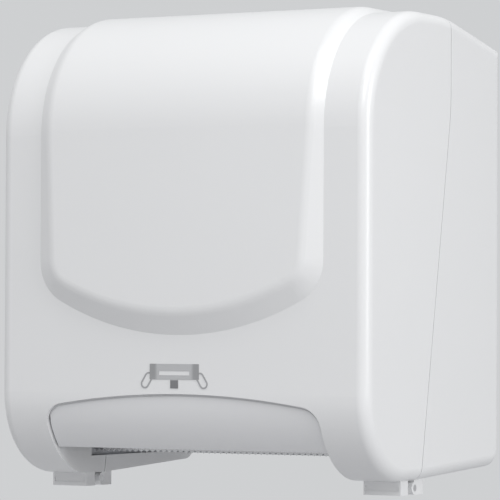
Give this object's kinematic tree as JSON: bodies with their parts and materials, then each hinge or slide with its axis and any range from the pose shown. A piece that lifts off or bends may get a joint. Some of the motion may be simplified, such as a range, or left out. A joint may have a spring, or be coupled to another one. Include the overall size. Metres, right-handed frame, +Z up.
{
  "type": "paper towel dispenser",
  "caption": "Wall-mounted paper towel dispenser with a glossy white hinged cover, a raised front panel and a push-bar lever that feeds towel from a roll.",
  "frame": {"origin": "centre of the four wall screws, in the wall's plane", "axes": "+X to the viewer's right, +Y into the wall (the front faces -Y), +Z up"},
  "size_m": [0.314, 0.2349, 0.3624],
  "materials": {
    "cover_plastic": "gloss",
    "bar_plastic": "gloss",
    "housing_plastic": "gloss",
    "frame_plastic": "matte",
    "acetal": "satin",
    "dark_plastic": "matte",
    "steel": "brushed",
    "zinc": "zinc plated",
    "blade_steel": "brushed",
    "rubber": "matte",
    "chrome": "polished",
    "towel": "matte",
    "core": "matte",
    "symbol_grey": "matte",
    "symbol_light": "matte"
  },
  "bodies": {
    "housing": {"rear_housing": "housing_plastic", "side_frame_left": "frame_plastic", "side_frame_right": "frame_plastic", "frame_screws": "zinc", "lever_bushes": "acetal", "feed_roller_bushes": "acetal", "lever_return_spring": "steel", "idler_stud": "steel", "idler_clip": "steel", "gear_cover": "frame_plastic", "gear_cover_screws": "zinc", "cover_hinge_pins": "steel", "lock_keeper": "zinc", "tear_blade": "blade_steel", "blade_holder": "dark_plastic", "upper_paper_guide": "frame_plastic", "lower_paper_guide": "frame_plastic", "pinch_springs": "steel", "roll_brackets": "zinc", "arm_pins": "steel", "arm_springs": "steel"},
    "cover": {"front_cover": "cover_plastic", "symbol_towel": "symbol_grey", "symbol_hands": "symbol_light"},
    "lock": {"lock_plug": "chrome", "lock_cam": "zinc"},
    "lever": {"push_bar": "bar_plastic", "lever_shaft": "steel", "sector_gear": "acetal"},
    "idler": {"idler_gear": "acetal"},
    "pinion": {"drive_pinion": "acetal"},
    "feed_roller": {"feed_roller_shaft": "steel", "feed_roller_tyres": "rubber", "feed_knob": "dark_plastic", "one_way_clutch": "steel"},
    "pinch_roller": {"pinch_roller_shaft": "steel", "pinch_roller_sleeves": "acetal"},
    "roll": {"towel_roll": "towel", "roll_core": "core"},
    "arm_left": {"roll_arm_left": "frame_plastic"},
    "arm_right": {"roll_arm_right": "frame_plastic"},
    "hub_left": {"roll_hub_left": "acetal"},
    "hub_right": {"roll_hub_right": "acetal"}
  },
  "joints": [
    {"name": "cover_open", "type": "hinge", "parent": "housing", "child": "cover", "pos_m": [0, -0.137, -0.179], "axis": [1, 0, 0], "range_deg": [0, 95]},
    {"name": "lock_turn", "type": "hinge", "parent": "cover", "child": "lock", "pos_m": [0, -0.105, 0.1645], "axis": [0, 0, -1], "range_deg": [0, 90]},
    {"name": "lever_push", "type": "hinge", "parent": "housing", "child": "lever", "pos_m": [0, -0.205, -0.0635], "axis": [1, 0, 0], "range_deg": [0, 18], "stiffness_Nm_per_rad": 1.2, "springref_deg": -17.19},
    {"name": "idler_spin", "type": "hinge", "parent": "housing", "child": "idler", "pos_m": [0.1297, -0.15085, -0.07569], "axis": [1, 0, 0], "range_deg": [-80, 0]},
    {"name": "pinion_spin", "type": "hinge", "parent": "housing", "child": "pinion", "pos_m": [0.1369, -0.128, -0.1035], "axis": [1, 0, 0], "range_deg": [0, 190]},
    {"name": "feed_roller_spin", "type": "hinge", "parent": "housing", "child": "feed_roller", "pos_m": [0, -0.128, -0.1035], "axis": [1, 0, 0], "continuous": true},
    {"name": "pinch_roller_spin", "type": "hinge", "parent": "housing", "child": "pinch_roller", "pos_m": [0, -0.1543, -0.1035], "axis": [1, 0, 0], "continuous": true},
    {"name": "roll_spin", "type": "hinge", "parent": "housing", "child": "roll", "pos_m": [0, -0.112, 0.0635], "axis": [1, 0, 0], "continuous": true},
    {"name": "arm_left_spread", "type": "hinge", "parent": "housing", "child": "arm_left", "pos_m": [-0.1055, -0.0101, 0.0635], "axis": [0, 0, -1], "range_deg": [0, 10], "stiffness_Nm_per_rad": 0.4, "springref_deg": -17.19},
    {"name": "arm_right_spread", "type": "hinge", "parent": "housing", "child": "arm_right", "pos_m": [0.1055, -0.0101, 0.0635], "axis": [0, 0, 1], "range_deg": [0, 10], "stiffness_Nm_per_rad": 0.4, "springref_deg": -17.19},
    {"name": "hub_left_spin", "type": "hinge", "parent": "arm_left", "child": "hub_left", "pos_m": [-0.104, -0.112, 0.0635], "axis": [1, 0, 0], "continuous": true},
    {"name": "hub_right_spin", "type": "hinge", "parent": "arm_right", "child": "hub_right", "pos_m": [0.104, -0.112, 0.0635], "axis": [1, 0, 0], "continuous": true}
  ],
  "couplings": [
    {"joint": "idler_spin", "follows": "lever_push", "ratio": -4.2857},
    {"joint": "pinion_spin", "follows": "lever_push", "ratio": 10.408},
    {"joint": "pinch_roller_spin", "follows": "feed_roller_spin", "ratio": -1.6},
    {"joint": "hub_left_spin", "follows": "roll_spin", "ratio": 1},
    {"joint": "hub_right_spin", "follows": "roll_spin", "ratio": 1}
  ]
}
